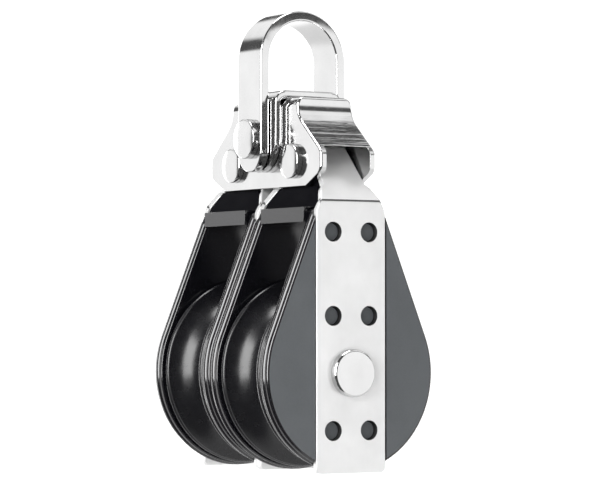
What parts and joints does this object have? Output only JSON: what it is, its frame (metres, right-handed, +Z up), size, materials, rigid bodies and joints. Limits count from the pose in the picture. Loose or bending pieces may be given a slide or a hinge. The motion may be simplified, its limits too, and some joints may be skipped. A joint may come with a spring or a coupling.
{
  "type": "double sheave block",
  "caption": "Small-boat pulley block with sheaves side by side on ball bearings, moulded cheeks, hairpin steel straps and a swinging shackle.",
  "frame": {"origin": "inside crown of the shackle bow, where the block hangs", "axes": "+Z up, away from the block; X along the axle; Y along the shackle pin, whose head is at -Y"},
  "size_m": [0.0364, 0.03, 0.0707],
  "materials": {
    "stainless_steel": "polished stainless steel",
    "cheek_moulding": "dark grey moulded, fine satin grain on the faces, gloss on the edges",
    "black_moulding": "black moulded",
    "sheave_moulding": "black moulded and turned",
    "race_steel": "ground",
    "washer_plastic": "natural",
    "ball_plastic": "natural"
  },
  "bodies": {
    "shackle": {"shackle_bow": "stainless_steel", "shackle_pin": "stainless_steel"},
    "block": {"head_bracket": "stainless_steel", "head_yoke": "stainless_steel", "pin_bush": "stainless_steel", "rivet_left": "stainless_steel", "rivet_right": "stainless_steel", "strap_left": "stainless_steel", "strap_right": "stainless_steel", "cheek_outer_left": "cheek_moulding", "cheek_outer_right": "cheek_moulding", "cheek_inner_left": "cheek_moulding", "cheek_inner_right": "cheek_moulding", "top_spacer_left": "black_moulding", "top_spacer_right": "black_moulding", "axle": "stainless_steel", "inner_race_left": "race_steel", "inner_race_right": "race_steel", "race_washer_inner_left": "washer_plastic", "race_washer_outer_left": "washer_plastic", "race_washer_inner_right": "washer_plastic", "race_washer_outer_right": "washer_plastic"},
    "sheave_left": {"sheave_left": "sheave_moulding"},
    "balls_left": {"ball_left_01": "ball_plastic", "ball_left_02": "ball_plastic", "ball_left_03": "ball_plastic", "ball_left_04": "ball_plastic", "ball_left_05": "ball_plastic", "ball_left_06": "ball_plastic", "ball_left_07": "ball_plastic", "ball_left_08": "ball_plastic", "ball_left_09": "ball_plastic", "ball_left_10": "ball_plastic", "ball_left_11": "ball_plastic", "ball_left_12": "ball_plastic"},
    "sheave_right": {"sheave_right": "sheave_moulding"},
    "balls_right": {"ball_right_01": "ball_plastic", "ball_right_02": "ball_plastic", "ball_right_03": "ball_plastic", "ball_right_04": "ball_plastic", "ball_right_05": "ball_plastic", "ball_right_06": "ball_plastic", "ball_right_07": "ball_plastic", "ball_right_08": "ball_plastic", "ball_right_09": "ball_plastic", "ball_right_10": "ball_plastic", "ball_right_11": "ball_plastic", "ball_right_12": "ball_plastic"}
  },
  "joints": [
    {"name": "block_swing", "type": "hinge", "parent": "shackle", "child": "block", "pos_m": [0, 0, -0.0184], "axis": [0, 1, 0], "range_deg": [-75, 75]},
    {"name": "sheave_left_spin", "type": "hinge", "parent": "block", "child": "sheave_left", "pos_m": [-0.00855, 0, -0.0542], "axis": [1, 0, 0], "continuous": true},
    {"name": "balls_left_orbit", "type": "hinge", "parent": "block", "child": "balls_left", "pos_m": [-0.00855, 0, -0.0542], "axis": [1, 0, 0], "continuous": true},
    {"name": "sheave_right_spin", "type": "hinge", "parent": "block", "child": "sheave_right", "pos_m": [0.00855, 0, -0.0542], "axis": [1, 0, 0], "continuous": true},
    {"name": "balls_right_orbit", "type": "hinge", "parent": "block", "child": "balls_right", "pos_m": [0.00855, 0, -0.0542], "axis": [1, 0, 0], "continuous": true}
  ],
  "couplings": [
    {"joint": "balls_left_orbit", "follows": "sheave_left_spin", "ratio": 0.6207},
    {"joint": "balls_right_orbit", "follows": "sheave_right_spin", "ratio": 0.6207}
  ]
}
